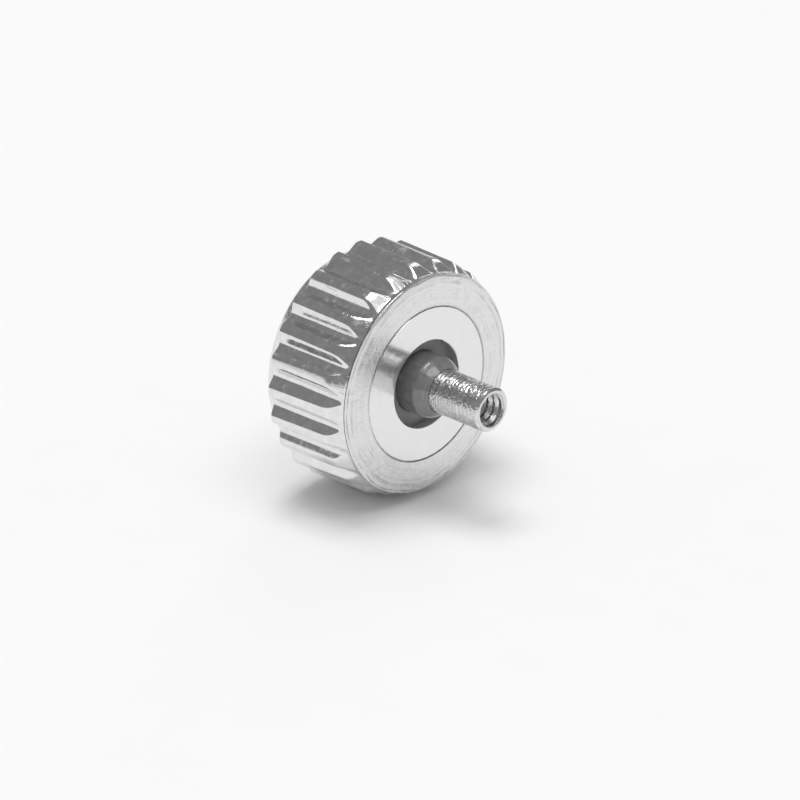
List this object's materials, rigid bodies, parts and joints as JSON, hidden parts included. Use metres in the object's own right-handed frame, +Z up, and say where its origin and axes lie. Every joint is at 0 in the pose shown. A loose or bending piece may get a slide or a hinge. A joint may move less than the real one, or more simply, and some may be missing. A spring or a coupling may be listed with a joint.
{
  "type": "watch crown",
  "caption": "Ridged push-pull watch crown: a fluted head with a pressed-in steel washer, black seals for the case tube and a long threaded post for the winding stem.",
  "frame": {"origin": "on the crown's axis, in the plane of the face that meets the watch case", "axes": "+X along the crown's axis towards the free end of the post, +Z up with the crown lying on its ridges, +Y across"},
  "size_m": [0.0058, 0.0066, 0.0066],
  "materials": {
    "head_steel": "polished stainless steel with turning rings on the face and fine wear scratches",
    "washer_steel": "bright pressed stainless steel, near mirror",
    "seal_rubber": "black synthetic rubber with a soft sheen",
    "gasket_rubber": "smooth black synthetic rubber, shinier on its rounded nose",
    "post_steel": "rough turned steel with tool chatter"
  },
  "bodies": {
    "root": {"crown_head": "head_steel", "retaining_washer": "washer_steel", "tube_seal": "seal_rubber", "post_gasket": "gasket_rubber", "threaded_post": "post_steel"}
  },
  "joints": []
}
